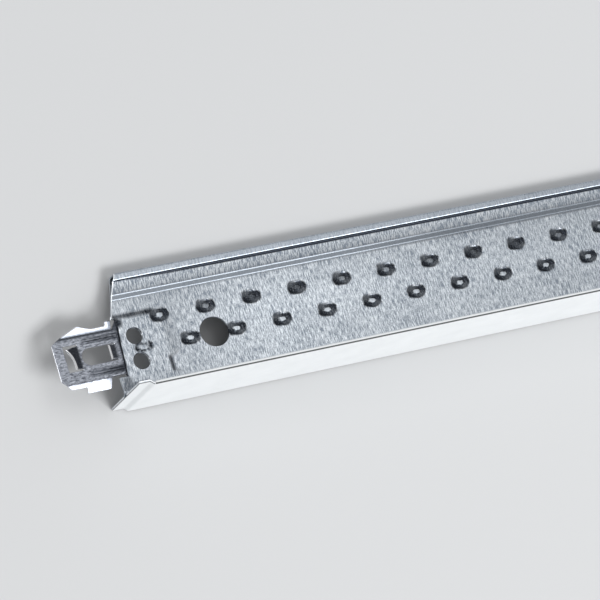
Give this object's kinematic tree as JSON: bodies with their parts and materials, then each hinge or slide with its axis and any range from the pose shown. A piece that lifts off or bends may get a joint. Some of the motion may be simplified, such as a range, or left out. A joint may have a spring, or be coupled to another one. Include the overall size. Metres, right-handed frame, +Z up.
{
  "type": "ceiling grid cross tee",
  "caption": "Folded steel ceiling tee: hollow bulb, stitched double web with holes, white hemmed face with lapping ends, and a sheet clip at each end that snaps through a runner.",
  "frame": {"origin": "centre of the bounding box on the floor, with the tee lying on its side", "axes": "+X along the length; +Y across the floor from the painted face towards the bulb; +Z up"},
  "size_m": [0.6132, 0.0354, 0.023],
  "materials": {
    "galvanised_steel": "hot-dip galvanised, streaky satin",
    "white_paint": "white coil-coated paint, satin",
    "clip_steel": "galvanised spring sheet, satin"
  },
  "bodies": {
    "root": {"tee_body": "galvanised_steel", "face_cap": "white_paint", "end_clip_left": "clip_steel", "end_clip_right": "clip_steel"}
  },
  "joints": []
}
